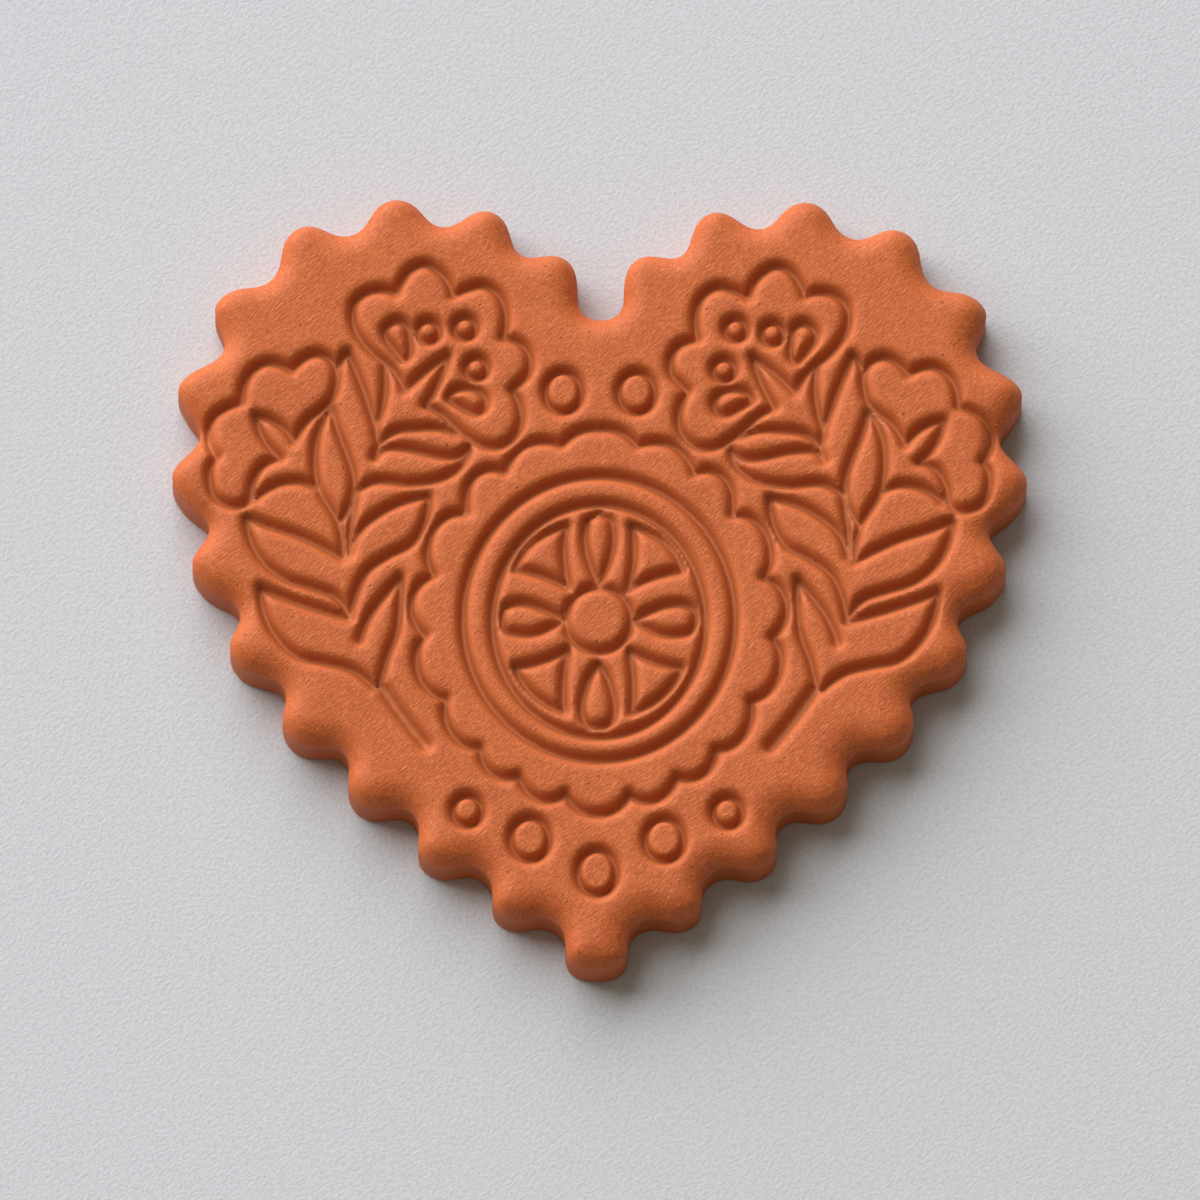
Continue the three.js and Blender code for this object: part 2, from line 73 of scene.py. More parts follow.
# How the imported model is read: the spacing of places along its edge and lines, the widest ring that is
# round a button, a normal's z on a face that looks down or slopes, and turns that are sharp or none.
CURVE_STEP = 0.05 * MM
BUTTON_REACH = 2.6 * MM
LOOKS_DOWN = -0.99
SLOPES = 0.1
SHARP_TURN = math.radians(50)
NO_TURN = math.radians(2)

# How the face is meshed, in shares of the mesh step: rings along the edge, the gap between them and the
# grid, the spacing along the edge, and how near a point is moved onto a row rather than cut.
RING_INSETS = (0.3, 0.75, 1.3, 2)
GRID_GAP = 0.6
EDGE_SPACING = 1.2
MIDDLE_SNAP = 0.2
SIDE_SNAP = 0.15
# Rows of edges on a line's side, from its foot at 1 to the start of its shoulder at 0.
SIDE_ROWS = (1, 0.84, 0.68, 0.45)
# An edge that crosses a line squarely is as long as its two ends are far from the line, together.
SQUARE_ENOUGH = 1.5
# How often the search for a crossing halves its stretch, how often folds are eased at most, and how
# often the heights of the face are smoothed.
HALVINGS = 7
FOLD_ROUNDS = 40
FACE_SMOOTHINGS = 6
# How far the cut side stands back under the worn corner, and the turns, in degrees, of the back's corner.
NICK = 4 * HAIR
BACK_TURNS = (30, 60, 90)

# Real sizes of what the clay and the paper show. Grains of clay and the tooth of drawing paper are finer
# in truth, but nothing finer than this shows with the whole heart in view.
PATCH = 7 * MM
GRAIN = 0.135 * MM
GRAIN_DEPTH = 0.06 * MM
FLECK_SPACING = 0.9 * MM
FLECK_DEPTH = 0.05 * MM
PIT_SPACING = 2 * MM
PIT_DEPTH = 0.12 * MM
PIT_RAGGED = 0.25 * MM
PIT_SHAKE = 0.18 * MM
TOOTH = 0.33 * MM
TOOTH_DEPTH = 0.052 * MM

# Heights between which the grainy face gives way to the smooth cut side.
GRAIN_ENDS, GRAIN_WHOLE = 4.6 * MM, 5.3 * MM
SIDE_STARTS, SIDE_WHOLE = 5.1 * MM, 4.7 * MM

# The clay was smoothed, and the paper's felt runs, from the lower left to the upper right. The stretch
# is how narrow a grain or fibre is against its length.
CLAY_DRAG = math.radians(-42)
CLAY_STRETCH = 0.27
PAPER_RUN = math.radians(-40)
PAPER_STRETCH = 0.75


def linear(hex_colour):
    """An sRGB colour written as #rrggbb, as linear red, green and blue."""
    channels = [int(hex_colour[place:place + 2], 16) / 255 for place in (1, 3, 5)]
    return [c / 12.92 if c <= 0.04045 else ((c + 0.055) / 1.055) ** 2.4 for c in channels]


def length(name, description, millimetres):
    """A length that the panel shows."""
    return FloatProperty(
        name=name, description=description, default=millimetres * MM, min=0, unit="LENGTH"
    )


def colour(name, description, hex_colour):
    """A colour that the panel shows."""
    return FloatVectorProperty(
        name=name, description=description, default=linear(hex_colour), subtype="COLOR", min=0, max=1
    )


class ClayShape(bpy.types.PropertyGroup):
    """Sizes of the soft forms that cutting and pressing leave in the clay."""

    rim_reach: length("Rim reach", "How far in from the edge the face starts to round over", 2.45)
    rim_drop: length("Rim drop", "How far the face has fallen where it meets the cut side", 1.85)
    rim_lead: length("Rim lead", "How much of the full round is cut off, which leaves a crease", 0.15)
    scallop_share: FloatProperty(
        name="Scallop share", default=0.12, min=0, max=0.8,
        description="How much shorter the rounding is on a scallop, and longer between two",
    )
    lean_share: FloatProperty(
        name="Lean share", default=0.2, min=0, max=0.8,
        description="How much longer the rounding is at the lower right, and shorter at the upper left",
    )
    scallop: length("Scallop", "How far a scallop stands out from the cuts either side of it", 1.6)
    scallop_length: length("Scallop length", "Distance along the edge from one scallop to the next", 9)
    crease: length("Crease", "Width of the worn corner between the face and the cut side", 0.18)
    back_round: length("Back round", "Radius of the corner between the cut side and the back", 0.4)
    foot: length("Foot", "How far inside a line's mouth its flat floor starts", 0.8)
    floor: length("Floor", "Half the width of a line's flat floor, at most", 0.22)
    shoulder: length("Shoulder", "How far the clay is drawn down outside a line's mouth", 0.5)
    button_foot: length("Button foot", "The same as the foot, on a button inside its ring", 0.76)
    button_shoulder: length("Button shoulder", "The same as the shoulder, on a button", 0.02)
    shoulder_bend: FloatProperty(
        name="Shoulder bend", description="How late a line's round shoulder turns down",
        default=3, min=1, max=5,
    )
    wave: length("Wave", "Height of the slow waves in the rolled face", 0.05)
    wave_length: length("Wave length", "Distance between the slow waves in the rolled face", 11)
    mesh_step: length("Mesh step", "Distance between the points of the modelled face", 0.34)


class ClayFinish(bpy.types.PropertyGroup):
    """Colours of the unglazed clay, and the painted shade and painted highlights laid on it."""

    clay: colour("Clay", "Plain terracotta", "#d2682f")
    deep: colour("Deep clay", "The redder, damper patches", "#c86029")
    # Lighter clay for rubbed grains and flecks, also used as the painted highlight on the floors of the
    # lines and along the crease under the rim.
    pale_and_highlight: colour("Pale clay", "Dusty patches and rubbed grains", "#e3864b")
    # Darker clay for the dark streaks of the grain, and painted shade in the bottoms of the small pits.
    dark_grain_and_pit_shade: colour("Pits", "The bottoms of the small pits", "#7e3a1a")
    # Painted shade: a darker, duller clay colour laid on the steep sides of the lines, where they are
    # shaded.
    sunk: colour("Sunk clay", "The steep sides of the lines, where the stamp drew up moisture", "#ba673a")
    # The cut side's colour: partly its own browner clay, partly painted shade that darkens the side below
    # the rim.
    side: colour("Cut side", "The side, where the cutter drew the damp clay smooth", "#b85712")


class Studio(bpy.types.PropertyGroup):
    """The paper, the light and the camera."""

    paper: colour("Paper", "The sheet that the heart lies on", "#d6d7d9")
    sheet_size: FloatProperty(
        name="Sheet size", description="Half the width of the sheet", default=2, min=0, unit="LENGTH"
    )
    view_width: length("View width", "Width that the picture takes in at the heart", 120)
    view_right: length("View right", "How far right of the heart's middle the camera looks", 0.12)
    view_down: length("View down", "How far below the heart's middle the camera looks", 2.08)
    lens: FloatProperty(
        name="Lens", description="Focal length, so long that nothing looks nearer",
        default=1200, subtype="DISTANCE_CAMERA",
    )
    tilt: FloatProperty(
        name="Tilt", description="How far the camera leans back from looking straight down",
        default=math.radians(15), subtype="ANGLE",
    )
    roll: FloatProperty(
        name="Roll", description="How far the camera is turned about its own axis",
        default=math.radians(0.35), subtype="ANGLE",
    )
    window_power: FloatProperty(
        name="Window", description="Power of the soft light from the upper left",
        default=244, subtype="POWER",
    )
    window_size: FloatProperty(
        name="Window size", description="Width and height of the window", default=4.4, min=0, unit="LENGTH"
    )
    window_away: FloatProperty(
        name="Window distance", description="How far away the window is", default=3, min=0, unit="LENGTH"
    )
    window_way: FloatVectorProperty(
        name="Window direction", description="The way from the heart to the window",
        default=(-0.58, 0.815, 0.57), subtype="DIRECTION",
    )
    window: colour("Window light", "Slightly cool daylight", "#f7f9ff")
    room: colour("Room light", "Slightly warm light from the room", "#fff5de")
    room_level: FloatProperty(name="Room", description="Brightness of the room all round", default=0.2)


def welded_node(name):
    """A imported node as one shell. Its own mesh is loose triangles, so a copy is merged."""
    shell = bmesh.new()
    shell.from_mesh(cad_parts[name].data)
    bmesh.ops.remove_doubles(shell, verts=shell.verts, dist=HAIR)
    shell.normal_update()
    return shell


def runs(edges, sharpest):
    """The edges joined end to end up to each fork and corner: lists of vertices, and which are closed."""
    at = {}
    for edge in edges:
        for vert in edge.verts:
            at.setdefault(vert, []).append(edge)

    def onward(vert, edge):
        if len(at[vert]) != 2:
            return None
        other = at[vert][0] if at[vert][1] is edge else at[vert][1]
        arriving = vert.co - edge.other_vert(vert).co
        leaving = other.other_vert(vert).co - vert.co
        return other if arriving.angle(leaving) < sharpest else None

    used = set()
    found = []
    for first in edges:
        if first in used:
            continue
        used.add(first)
        run = list(first.verts)
        for _ in range(2):
            edge = onward(run[-1], first)
            while edge is not None and edge not in used:
                used.add(edge)
                run.append(edge.other_vert(run[-1]))
                edge = onward(run[-1], edge)
            run.reverse()
        closed = edge is not None
        found.append((run[:-1] if closed else run, closed))
    return found


def smooth_places(places, closed, step):
    """Places about a step apart on the smooth curve through the given ones."""
    count = len(places)
    if count < 2:
        return list(places)

    def tangent(index):
        before = places[index] - places[index - 1]
        after = places[(index + 1) % count] - places[index]
        return (before.normalized() * after.length + after.normalized() * before.length).normalized()

    def end_tangent(chord, inner):
        chord = chord.normalized()
        return 2 * inner.dot(chord) * chord - inner

    tangents = [tangent(index) for index in range(count)]
    if not closed:
        straight = (places[-1] - places[0]).normalized()
        inner = tangents[1:-1] or [straight]
        tangents[0] = end_tangent(places[1] - places[0], inner[0])
        tangents[-1] = end_tangent(places[-1] - places[-2], inner[-1])
    curve = []
    for index in range(count if closed else count - 1):
        start, end = places[index], places[(index + 1) % count]
        # A third of the way is where a Bezier curve's handles keep an even pace.
        handle = (end - start).length / 3
        pieces = max(2, math.ceil((end - start).length / step) + 1)
        curve += interpolate_bezier(
            start, start + tangents[index] * handle,
            end - tangents[(index + 1) % count] * handle, end, pieces,
        )[:-1]
    return curve if closed else curve + [places[-1]]


def bends_only(run, closed):
    """The places of a run without those that lie on a straight stretch."""
    places = [vert.co.copy() for vert in run]
    kept = []
    for index, place in enumerate(places):
        if not closed and index in (0, len(places) - 1):
            kept.append(place)
            continue
        before = place - places[index - 1]
        after = places[(index + 1) % len(places)] - place
        if before.angle(after) > NO_TURN:
            kept.append(place)
    return kept


class CutEdge:
    """The heart's edge seen from above: even places along it, and which way is out at each."""

    def __init__(self, shell, step, scallop, scallop_length):
        rim = [
            edge for edge in shell.edges
            if sorted(face.normal.z < LOOKS_DOWN for face in edge.link_faces) == [False, True]
        ]
        run, closed = max(runs(rim, math.pi), key=lambda found: len(found[0]))
        places = smooth_places([vert.co.copy() for vert in run], closed, step)
        area = sum(a.x * b.y - a.y * b.x for a, b in zip(places, places[1:] + places[:1]))
        if area < 0:
            places.reverse()
        self.places = [Vector((place.x, place.y, 0)) for place in places]
        count = len(places)
        self.outward = []
        self.lobe = []
        half = round(scallop_length / step / 2)
        for index, place in enumerate(self.places):
            along = self.places[(index + 1) % count] - self.places[index - 1]
            self.outward.append(Vector((along.y, -along.x, 0)).normalized())
            beside = (self.places[index - half] + self.places[(index + half) % count]) / 2
            self.lobe.append(max(-1, min((place - beside).dot(self.outward[index]) / scallop, 1)))
        self.tree = KDTree(count)
        for index, place in enumerate(self.places):
            self.tree.insert(place, index)
        self.tree.balance()

    def inside(self, place):
        """How far a place lies inside the edge. It is below zero outside."""
        nearest, index, away = self.tree.find(place)
        return away if (place - nearest).dot(self.outward[index]) < 0 else -away

    def lobe_at(self, place):
        """Whether the nearest edge is a scallop's tip, 1, or the deepest place between two, -1."""
        return self.lobe[self.tree.find(place)[1]]

    def lean_at(self, place):
        """Whether the nearest edge faces the lower right, 1, or the upper left, -1."""
        return self.outward[self.tree.find(place)[1]].dot(Vector((1, -1, 0)).normalized())


class PressedLines:
    """The bottoms of the pressed lines: places along smooth curves, and what line each belongs to."""

    def __init__(self, shell, step):
        level = [
            edge for edge in shell.edges
            if len(edge.link_faces) == 2 and not edge.is_convex
            and abs(edge.verts[0].co.z - edge.verts[1].co.z) < HAIR
            and edge.verts[0].co.z < HIGH.z - HAIR
            and min(face.normal.z for face in edge.link_faces) > SLOPES
        ]
        floor = min(edge.verts[0].co.z for edge in level)
        bottoms = [edge for edge in level if edge.verts[0].co.z < floor + HAIR]
        self.depth = HIGH.z - floor
        self.facts = []
        places = []
        for run, closed in runs(bottoms, SHARP_TURN):
            curve = smooth_places(bends_only(run, closed), closed, step)
            middle = sum((place.xy for place in curve), Vector((0, 0))) / len(curve)
            reach = max((place.xy - middle).length for place in curve)
            button = middle if closed and reach < BUTTON_REACH else None
            places += [Vector((place.x, place.y, 0)) for place in curve]
            self.facts += [(self.half_width(run), button)] * len(curve)
        self.tree = KDTree(len(places))
        for index, place in enumerate(places):
            self.tree.insert(place, index)
        self.tree.balance()

    def half_width(self, run):
        """Half the width at the mouth, from how steep the sides are that meet along the bottom."""
        slopes = []
        for vert in run:
            for face in vert.link_faces:
                across = math.hypot(face.normal.x, face.normal.y)
                if face.normal.z > SLOPES and across > SLOPES:
                    slopes.append(face.normal.z / across)
        return self.depth * sorted(slopes)[len(slopes) // 2]

    def nearest(self, place):
        """The nearest place on a line's middle, how far away it is, and that line's half width."""
        nearest, index, away = self.tree.find(place)
        return nearest, away, self.facts[index][0]

    def on_button(self, place):
        """Whether a place is on a button, inside its ring."""
        nearest, index, away = self.tree.find(place)
        middle = self.facts[index][1]
        return middle is not None and (place.xy - middle).length < (nearest.xy - middle).length


def rim_height(shape, edge, place):
    """The height of the slow waves in the face and of its round fall towards the edge."""
    wave = shape.wave * (noise.noise(place / shape.wave_length) - 1) / 2
    wider = shape.lean_share * edge.lean_at(place) - shape.scallop_share * edge.lobe_at(place)
    reach = shape.rim_reach * (1 + wider) + shape.rim_lead
    share = min((max(edge.inside(place), 0) + shape.rim_lead) / reach, 1)
    at_edge = 1 - math.sqrt(1 - (1 - shape.rim_lead / reach) ** 2)
    return HIGH.z + wave - shape.rim_drop * (1 - math.sqrt(1 - (1 - share) ** 2)) / at_edge


def into_line(shape, lines, place):
    """How far a place is on its way from a line's shoulder to its floor, from 0 to 1."""
    away, half_width = lines.nearest(place)[1:]
    on_button = lines.on_button(place)
    foot = shape.button_foot if on_button else max(shape.foot, half_width - shape.floor)
    shoulder = shape.button_shoulder if on_button else shape.shoulder
    return min(max((half_width + shoulder - away) / (foot + shoulder), 0), 1)


def crossing(past, start, end):
    """The share of the way from one place to another at which what it is past changes sign."""
    low, high = 0, 1
    for _ in range(HALVINGS):
        share = (low + high) / 2
        if past(start.lerp(end, share)) * past(start) > 0:
            low = share
        else:
            high = share
    return (low + high) / 2


def ease_folds(clay, movable):
    """Moves the points of each flat face that is turned over or shrunk to nothing, until there is none."""
    for _ in range(FOLD_ROUNDS):
        clay.normal_update()
        folded = dict.fromkeys(
            vert for face in clay.faces if face.normal.z <= 0 or face.calc_area() < HAIR * HAIR
            for vert in face.verts if vert in movable
        )
        if not folded:
            break
        bmesh.ops.smooth_vert(clay, verts=list(folded), factor=0.5, use_axis_x=True, use_axis_y=True)


def edges_along_middles(clay, lines, snap):
    """Runs a row of edges through the flat face along the middle of every line."""
    offset = {}
    row = []
    for vert in clay.verts:
        nearest, away = lines.nearest(vert.co)[:2]
        offset[vert] = vert.co - nearest
        if away < snap and not vert.is_boundary:
            vert.co = nearest
            row.append(vert)
    settled = set(row)
    for edge in list(clay.edges):
        start, end = edge.verts
        if edge.is_boundary or start in settled or end in settled:
            continue
        start_away, end_away = offset[start].length, offset[end].length
        across = offset[start].dot(offset[end]) < 0
        if across and start_away + end_away < SQUARE_ENOUGH * edge.calc_length():
            row.append(bmesh.utils.edge_split(edge, start, start_away / (start_away + end_away))[1])
    bmesh.ops.connect_verts(clay, verts=row)


def edges_along_sides(clay, lines, inset, snap):
    """Runs rows of edges through the flat face along both sides of every line, inset from its mouth."""
    def past_row(place):
        away, half_width = lines.nearest(place)[1:]
        return away - (half_width - inset)

    outside = {}
    row = []
    for vert in clay.verts:
        nearest, away = lines.nearest(vert.co)[:2]
        outside[vert] = past_row(vert.co)
        if abs(outside[vert]) < snap < away and not vert.is_boundary:
            vert.co += (nearest - vert.co) * (outside[vert] / away)
            outside[vert] = 0
            row.append(vert)
    for edge in list(clay.edges):
        start, end = edge.verts
        if outside[start] * outside[end] < 0 and not edge.is_boundary:
            row.append(bmesh.utils.edge_split(edge, start, crossing(past_row, start.co, end.co))[1])
    bmesh.ops.connect_verts(clay, verts=row)


def trimmed_grid(clay, edge, step, margin):
    """A fine grid over the face, kept only where it lies further inside the edge than the margin."""
    size = HIGH - LOW
    grid = bmesh.ops.create_grid(
        clay, x_segments=round(size.x / step), y_segments=round(size.y / step), size=0.5,
        matrix=Matrix.Diagonal((size.x, size.y, 1, 1)),
    )["verts"]
    outside = [vert for vert in grid if edge.inside(vert.co) < margin]
    bmesh.ops.delete(clay, geom=outside, context="VERTS")
    while True:
        stray = [
            vert for vert in clay.verts
            if not vert.link_faces or sum(not near.is_manifold for near in vert.link_edges) > 2
        ]
        if not stray:
            break
        bmesh.ops.delete(clay, geom=stray, context="VERTS")
    return [side for side in clay.edges if side.is_boundary]


def next_ring(clay, ring, place):
    """Extrudes a ring of edges and puts each new vertex at the place worked out for it."""
    made = bmesh.ops.extrude_edge_only(clay, edges=ring)["geom"]
    verts = {item for item in made if isinstance(item, bmesh.types.BMVert)}
    for vert in verts:
        vert.co = place(vert)
    return [item for item in made if isinstance(item, bmesh.types.BMEdge) and verts.issuperset(item.verts)]


def heart_mesh(shape):
    """The clay heart as one closed mesh: face, rounded rim, cut side and flat back."""
    shell = welded_node("clay_heart")
    edge = CutEdge(shell, CURVE_STEP, shape.scallop, shape.scallop_length)
    lines = PressedLines(shell, CURVE_STEP)
    shell.free()

    clay = bmesh.new()
    where = clay.verts.layers.int.new("place_on_edge")
    pressed = clay.verts.layers.float.new(PRESSED)
    creased = clay.verts.layers.float.new(CREASED)
    step = shape.mesh_step
    ring_insets = [share * step for share in RING_INSETS]
    border = trimmed_grid(clay, edge, step, ring_insets[-1] + step * GRID_GAP)

    stride = round(EDGE_SPACING * step / CURVE_STEP)
    chosen = range(0, len(edge.places), stride)
    circle = bmesh.ops.create_circle(clay, segments=len(chosen), radius=1)["verts"]
    for vert, index in zip(circle, chosen):
        vert.co = edge.places[index]
        vert[where] = index
    outline = list(dict.fromkeys(side for vert in circle for side in vert.link_edges))

    def inward(vert, distance):
        return edge.outward[vert[where]] * -distance

    def set_in(distance, height):
        return lambda vert: edge.places[vert[where]] + inward(vert, distance) + Vector((0, 0, height))

    ring = outline
    for distance in ring_insets:
        ring = next_ring(clay, ring, set_in(distance, 0))
    bmesh.ops.triangle_fill(clay, edges=border + ring, use_beauty=True, normal=(0, 0, 1))
    edges_along_middles(clay, lines, step * MIDDLE_SNAP)
    for share in SIDE_ROWS:
        inset = shape.foot * share - shape.shoulder * (1 - share)
        edges_along_sides(clay, lines, inset, step * SIDE_SNAP)
    inner = [vert for vert in clay.verts if not vert.is_boundary]
    ease_folds(clay, set(inner))
    flat = {vert: vert.co.copy() for vert in clay.verts}
    for vert, place in flat.items():
        vert.co.z = rim_height(shape, edge, place)
    for _ in range(FACE_SMOOTHINGS):
        bmesh.ops.smooth_vert(clay, verts=inner, factor=0.5, use_axis_z=True)
    for vert, place in flat.items():
        vert[pressed] = into_line(shape, lines, place)
        vert.co.z -= lines.depth * vert[pressed] ** shape.shoulder_bend

    down = Vector((0, 0, -shape.crease))
    ring = outline
    # The first ring below the face's edge is marked for the lighter crease: partly wear, partly a painted
    # highlight.
    for worn_and_highlighted, nick in ((1, 0), (0, NICK)):
        ring = next_ring(clay, ring, lambda vert: vert.co + inward(vert, nick) + down)
        for side in ring:
            for vert in side.verts:
                vert[creased] = worn_and_highlighted
    for height in ((HIGH.z - shape.rim_drop) / 2, shape.back_round):
        ring = next_ring(clay, ring, set_in(0, height))
    for turn in BACK_TURNS:
        angle = math.radians(turn)
        ring = next_ring(clay, ring, set_in(
            shape.back_round * (1 - math.cos(angle)), shape.back_round * (1 - math.sin(angle))
        ))
    ring = next_ring(clay, ring, set_in(shape.back_round * 2, 0))
    bmesh.ops.contextual_create(clay, geom=ring)
    bmesh.ops.triangulate(clay, faces=[face for face in clay.faces if len(face.verts) > 4])
    bmesh.ops.recalc_face_normals(clay, faces=clay.faces)
    for face in clay.faces:
        face.smooth = True
    return clay


def piece(name, made):
    """A finished bmesh as an object at the origin."""
    mesh = bpy.data.meshes.new(name)
    made.to_mesh(mesh)
    made.free()
    thing = bpy.data.objects.new(name, mesh)
    bpy.context.scene.collection.objects.link(thing)
    return thing


def result(source):
    """The output that a node gives with its present fields. An output stands for itself."""
    if isinstance(source, bpy.types.NodeSocket):
        return source
    return next(socket for socket in source.outputs if socket.enabled)


def add_node(material, kind, links=None, **settings):
    """Adds a node, sets its fields and sockets, and links each named socket to a node or an output.

    A space in a socket's name is written as an underscore.
    """
    tree = material.node_tree
    made = tree.nodes.new(kind)
    for name in [name for name in settings if hasattr(made, name)]:
        setattr(made, name, settings.pop(name))
    sockets = {}
    for socket in made.inputs:
        if socket.enabled:
            sockets[socket.identifier] = socket
            sockets.setdefault(socket.name.replace(" ", "_"), socket)
    for name, value in settings.items():
        sockets[name].default_value = value
    for name, source in (links or {}).items():
        tree.links.new(sockets[name], result(source))
    return made


def blank_material(name):
    """A material with nothing in it but a shader and its output."""
    material = bpy.data.materials.new(name)
    material.use_nodes = True
    material.node_tree.nodes.clear()
    shader = add_node(material, "ShaderNodeBsdfPrincipled")
    add_node(material, "ShaderNodeOutputMaterial", {"Surface": shader})
    return material, shader


def terracotta(finish):
    """Terracotta: low-fired red earthenware, rolled and pressed while soft, and left unglazed.

    The eye sees a dull, slightly dusty surface, a fine drag of grains in one direction where the clay
    was smoothed, and small pits where a grain came out, with painted shade in their bottoms. The steep
    sides of the lines and the cut side are smoother. The steep sides of the lines carry painted shade,
    and the cut side is browner and darker, partly its own colour and partly painted shade. The flat
    floors of the lines are lighter as a painted highlight, and the corner under the rim is lighter,
    partly from wear and partly as a painted highlight.
    """
    material, shader = blank_material("terracotta_unglazed")
    add = partial(add_node, material)
    shader.inputs["Roughness"].default_value = 0.6
    shader.inputs["Specular IOR Level"].default_value = 0.38

    place = add("ShaderNodeTexCoord").outputs["Object"]
    turned = add("ShaderNodeMapping", {"Vector": place}, Rotation=(0, 0, CLAY_DRAG))
    dragged = add("ShaderNodeMapping", {"Vector": turned}, Scale=(CLAY_STRETCH, 1, 1))
    height = add("ShaderNodeSeparateXYZ", {"Vector": place}).outputs["Z"]
    pressed = add("ShaderNodeAttribute", attribute_name=PRESSED).outputs["Fac"]
    creased = add("ShaderNodeAttribute", attribute_name=CREASED).outputs["Fac"]

    patches = add("ShaderNodeTexNoise", {"Vector": place}, Scale=1 / PATCH, Detail=4, Roughness=0.6)
    grain = add("ShaderNodeTexNoise", {"Vector": dragged}, Scale=1 / GRAIN, Detail=1, Roughness=0.7)
    shaken = add("ShaderNodeTexNoise", {"Vector": place}, Scale=1 / PIT_RAGGED, Detail=1).outputs["Color"]
    uneven = add("ShaderNodeMix", {"A": place, "B": shaken}, data_type="VECTOR", Factor=PIT_SHAKE)
    pit_cells = add("ShaderNodeTexVoronoi", {"Vector": uneven}, Scale=1 / PIT_SPACING)
    fleck_cells = add("ShaderNodeTexVoronoi", {"Vector": dragged}, Scale=1 / FLECK_SPACING)

    # Where each trait starts, where it is full, and how strong it then is.
    traits = {
        name: add("ShaderNodeMapRange", {"Value": source}, From_Min=start, From_Max=full, To_Max=strength)
        for name, source, start, full, strength in (
            ("top", height, GRAIN_ENDS, GRAIN_WHOLE, 1),
            ("level", pressed, 0.8, 0.4, 1),
            ("plain", patches, 0.35, 0.65, 1),
            # Where the cut side's colour, partly painted shade, takes over below the rim.
            ("side", height, SIDE_STARTS, SIDE_WHOLE, 1),
            # Painted shade on the steep sides of the lines.
            ("sunk", pressed, 0.5, 0.9, 1),
            ("low grain", grain, 0.47, 0.3, 0.4),
            ("high grain", grain, 0.54, 0.7, 0.65),
            ("flecks", fleck_cells, 0.14, 0.05, 0.7),
            ("pits", pit_cells, 0.08, 0.035, 0.7),
            # Painted highlight: the flat floors of the lines are made lighter, as if they caught the
            # light.
            ("floor", pressed, 0.86, 1, 0.5),
            ("dusty", patches, 0.3, 0.6, 1),
        )
    }
    # The crease's lightening, in patches: partly wear, partly a painted highlight along the edge.
    face, worn_and_highlighted = (
        add("ShaderNodeMath", {"Value": first, "Value_001": second}, operation="MULTIPLY")
        for first, second in ((traits["top"], traits["level"]), (creased, traits["dusty"]))
    )
    streaks, low_grain, high_grain, flecks, pits = (
        add("ShaderNodeMath", {"Value": trait, "Value_001": face}, operation="MULTIPLY")
        for trait in (grain, traits["low grain"], traits["high grain"], traits["flecks"], traits["pits"])
    )

    tone = add(
        "ShaderNodeMix", {"Factor": traits["plain"]}, data_type="RGBA",
        A=(*finish.deep, 1), B=(*finish.clay, 1),
    )
    for share, tint in (
        # Cut side below the rim: partly its own colour, partly painted shade.
        (traits["side"], finish.side),
        # Painted shade on the steep sides of the lines.
        (traits["sunk"], finish.sunk),
        (low_grain, finish.dark_grain_and_pit_shade),
        (high_grain, finish.pale_and_highlight),
        (flecks, finish.pale_and_highlight),
        # Painted shade in the bottoms of the small pits.
        (pits, finish.dark_grain_and_pit_shade),
        # Painted highlight on the floors of the lines.
        (traits["floor"], finish.pale_and_highlight),
        # Lighter crease under the rim: partly wear, partly a painted highlight along the edge.
        (worn_and_highlighted, finish.pale_and_highlight),
    ):
        tone = add("ShaderNodeMix", {"Factor": share, "A": tone}, data_type="RGBA", B=(*tint, 1))
    material.node_tree.links.new(shader.inputs["Base Color"], result(tone))

    rough = add("ShaderNodeBump", {"Height": streaks}, Strength=1, Distance=GRAIN_DEPTH)
    rough = add(
        "ShaderNodeBump", {"Height": traits["flecks"], "Normal": rough}, Strength=0.6, Distance=FLECK_DEPTH
    )
    rough = add(
        "ShaderNodeBump", {"Height": traits["pits"], "Normal": rough},
        invert=True, Strength=0.6, Distance=PIT_DEPTH,
    )
    material.node_tree.links.new(shader.inputs["Normal"], result(rough))
    return material


def paper(studio):
    """Uncoated drawing paper, pressed on felt: matt, with a low fibrous tooth that runs one way."""
    material, shader = blank_material("paper_felt_marked")
    add = partial(add_node, material)
    shader.inputs["Roughness"].default_value = 0.95

    place = add("ShaderNodeTexCoord").outputs["Object"]
    turned = add("ShaderNodeMapping", {"Vector": place}, Rotation=(0, 0, PAPER_RUN))
    fibres = add("ShaderNodeMapping", {"Vector": turned}, Scale=(PAPER_STRETCH, 1, 1))
    tooth = add(
        "ShaderNodeTexNoise", {"Vector": fibres}, Scale=1 / TOOTH, Detail=2, Roughness=0.55, Distortion=0.4
    )
    hollows = add("ShaderNodeMapRange", {"Value": tooth}, From_Min=0.6, From_Max=0.36, To_Max=0.1)
    tone = add(
        "ShaderNodeMix", {"Factor": hollows}, data_type="RGBA", A=(*studio.paper, 1), B=(0, 0, 0, 1)
    )
    material.node_tree.links.new(shader.inputs["Base Color"], result(tone))
    rough = add("ShaderNodeBump", {"Height": tooth}, Strength=1, Distance=TOOTH_DEPTH)
    material.node_tree.links.new(shader.inputs["Normal"], result(rough))
    return material


def aim(thing, eye, target, roll=0):
    """Puts a lamp or camera at a place, looking at another, with its top towards +Y."""
    back = (eye - target).normalized()
    right = Vector((0, 1, 0)).cross(back).normalized()
    up = back.cross(right)
    rolled = (
        right * math.cos(roll) + up * math.sin(roll), up * math.cos(roll) - right * math.sin(roll), back
    )
    thing.matrix_world = Matrix.Translation(eye) @ Matrix(rolled).transposed().to_4x4()


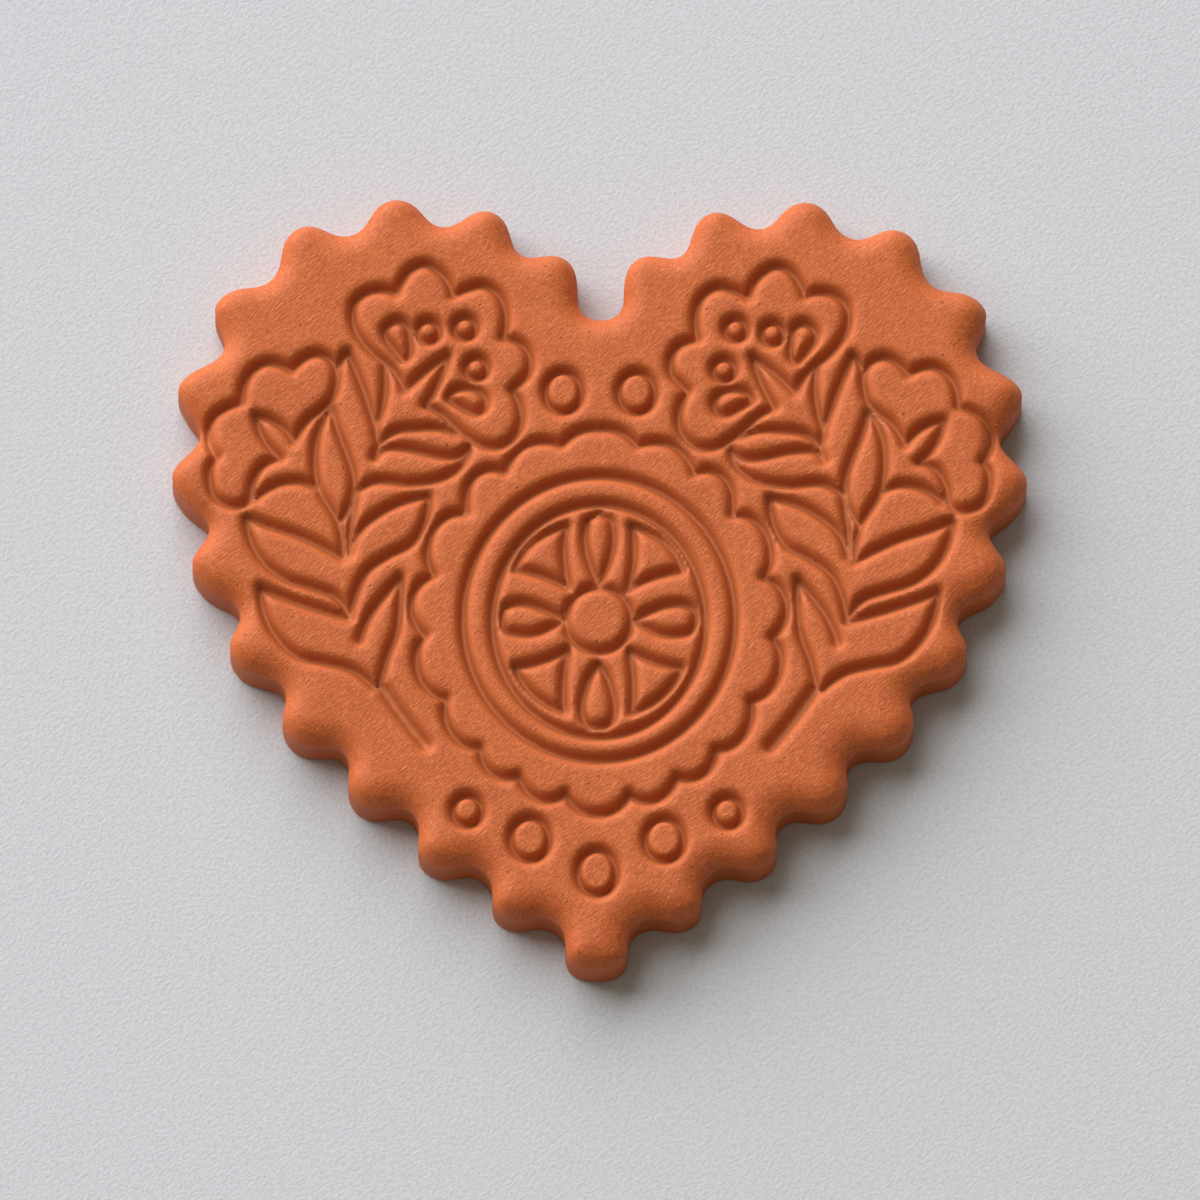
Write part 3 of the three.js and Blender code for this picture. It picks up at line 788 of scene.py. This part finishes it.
def window_lamp(studio):
    """A square soft light that faces the heart, as a large window does."""
    data = bpy.data.lights.new("window_light", "AREA")
    data.shape = "SQUARE"
    data.size = studio.window_size
    data.energy = studio.window_power
    data.color = studio.window
    lamp = bpy.data.objects.new("window_light", data)
    bpy.context.scene.collection.objects.link(lamp)
    aim(lamp, Vector(studio.window_way).normalized() * studio.window_away, Vector((0, 0, 0)))


class CLAYHEART_OT_heart(bpy.types.Operator):
    """Shapes the pressed clay heart and gives it its terracotta"""

    bl_idname = "clayheart.heart"
    bl_label = "Clay heart"

    def execute(self, context):
        heart = piece("pressed_heart", heart_mesh(context.scene.clay_shape))
        heart.data.materials.append(terracotta(context.scene.clay_finish))
        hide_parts("clay_heart")
        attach(heart, "root")
        return {"FINISHED"}


class CLAYHEART_OT_stage(bpy.types.Operator):
    """Lays the sheet of paper and sets up the soft light and the camera"""

    bl_idname = "clayheart.stage"
    bl_label = "Paper, light and camera"

    def execute(self, context):
        scene = context.scene
        studio = scene.clay_studio
        sheet = bmesh.new()
        bmesh.ops.create_grid(sheet, x_segments=1, y_segments=1, size=studio.sheet_size)
        floor = piece("paper_sheet", sheet)
        floor.data.materials.append(paper(studio))

        window_lamp(studio)
        scene.world = bpy.data.worlds.new("plain_room")
        scene.world.use_nodes = True
        room = scene.world.node_tree.nodes["Background"].inputs
        room["Color"].default_value = (*studio.room, 1)
        room["Strength"].default_value = studio.room_level

        lens = bpy.data.cameras.new("long_lens")
        lens.lens = studio.lens
        camera = bpy.data.objects.new("long_lens", lens)
        scene.collection.objects.link(camera)
        distance = studio.view_width * lens.lens / lens.sensor_width
        target = Vector((studio.view_right, -studio.view_down, HIGH.z))
        lean = Vector((0, -math.sin(studio.tilt), math.cos(studio.tilt)))
        aim(camera, target + lean * distance, target, studio.roll)
        scene.camera = camera
        scene.view_settings.view_transform = "Standard"
        return {"FINISHED"}


class CLAYHEART_PT_panel(bpy.types.Panel):
    """The heart's sizes and colours, and a button for each part of the scene"""

    bl_label = "Clay heart"
    bl_idname = "CLAYHEART_PT_panel"
    bl_space_type = "VIEW_3D"
    bl_region_type = "UI"
    bl_category = "Clay heart"

    def draw(self, context):
        scene = context.scene
        for groups, operator in (
            ((scene.clay_shape, scene.clay_finish), CLAYHEART_OT_heart),
            ((scene.clay_studio,), CLAYHEART_OT_stage),
        ):
            box = self.layout.box()
            box.label(text=operator.bl_label)
            for settings in groups:
                for name in settings.bl_rna.properties.keys():
                    if name not in {"rna_type", "name"}:
                        box.prop(settings, name)
            box.operator(operator.bl_idname)


CLASSES = (ClayShape, ClayFinish, Studio, CLAYHEART_OT_heart, CLAYHEART_OT_stage, CLAYHEART_PT_panel)


def register():
    for cls in CLASSES:
        bpy.utils.register_class(cls)
    bpy.types.Scene.clay_shape = PointerProperty(type=ClayShape)
    bpy.types.Scene.clay_finish = PointerProperty(type=ClayFinish)
    bpy.types.Scene.clay_studio = PointerProperty(type=Studio)


def unregister():
    del bpy.types.Scene.clay_shape, bpy.types.Scene.clay_finish, bpy.types.Scene.clay_studio
    for cls in reversed(CLASSES):
        bpy.utils.unregister_class(cls)


def main():
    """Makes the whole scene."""
    register()
    bpy.ops.clayheart.heart()
    bpy.ops.clayheart.stage()


if __name__ == "__main__":
    main()
